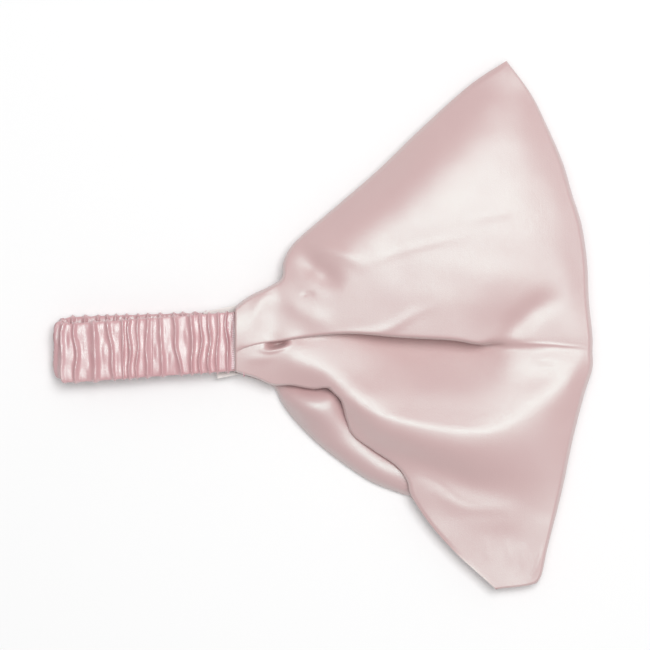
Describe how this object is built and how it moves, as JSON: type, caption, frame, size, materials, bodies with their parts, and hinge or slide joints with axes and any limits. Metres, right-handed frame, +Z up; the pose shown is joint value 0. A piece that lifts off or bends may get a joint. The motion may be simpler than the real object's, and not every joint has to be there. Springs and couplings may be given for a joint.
{
  "type": "headband",
  "caption": "Loop headband with a wide double-cloth satin front, folded at centre front and pleated into a ruched elastic casing that closes the loop at the back.",
  "frame": {"origin": "middle of the laid-flat headband's footprint, on the surface that it lies on", "axes": "+X runs from the elastic loop at the back to the fold at centre front, +Y across the band, +Z up from the surface"},
  "size_m": [0.242, 0.237, 0.0284],
  "materials": {
    "front_satin": "pale pink satin with a soft broad sheen",
    "casing_satin": "the same pale pink satin, ruched",
    "elastic": "woven elastic",
    "thread": "polyester thread, matched to the satin",
    "label": "blank woven label tape"
  },
  "bodies": {
    "front_lower": {"front_lower_outer": "front_satin", "front_lower_lining": "front_satin", "front_fold_outer": "front_satin", "front_fold_lining": "front_satin", "side_seams_lower": "thread", "join_stitching_lower": "thread", "elastic_tack_lower": "thread", "casing_lower_run": "casing_satin", "elastic_lower_run": "elastic", "casing_seam_lower": "thread", "blank_label": "label", "label_stitching": "thread"},
    "front_upper": {"front_upper_outer": "front_satin", "front_upper_lining": "front_satin", "side_seams_upper": "thread", "join_stitching_upper": "thread", "elastic_tack_upper": "thread", "casing_upper_run": "casing_satin", "elastic_upper_run": "elastic", "casing_seam_upper": "thread"},
    "back_end": {"casing_back_loop": "casing_satin", "elastic_back_loop": "elastic", "casing_seam_back": "thread"}
  },
  "joints": [
    {"name": "loop_open", "type": "hinge", "parent": "front_lower", "child": "front_upper", "pos_m": [0.082, 0, 0.0144], "axis": [0, 1, 0], "range_deg": [0, 20]},
    {"name": "elastic_stretch", "type": "slide", "parent": "front_lower", "child": "back_end", "axis": [-1, 0, 0], "range_m": [0, 0.04], "stiffness_N_per_m": 150}
  ]
}
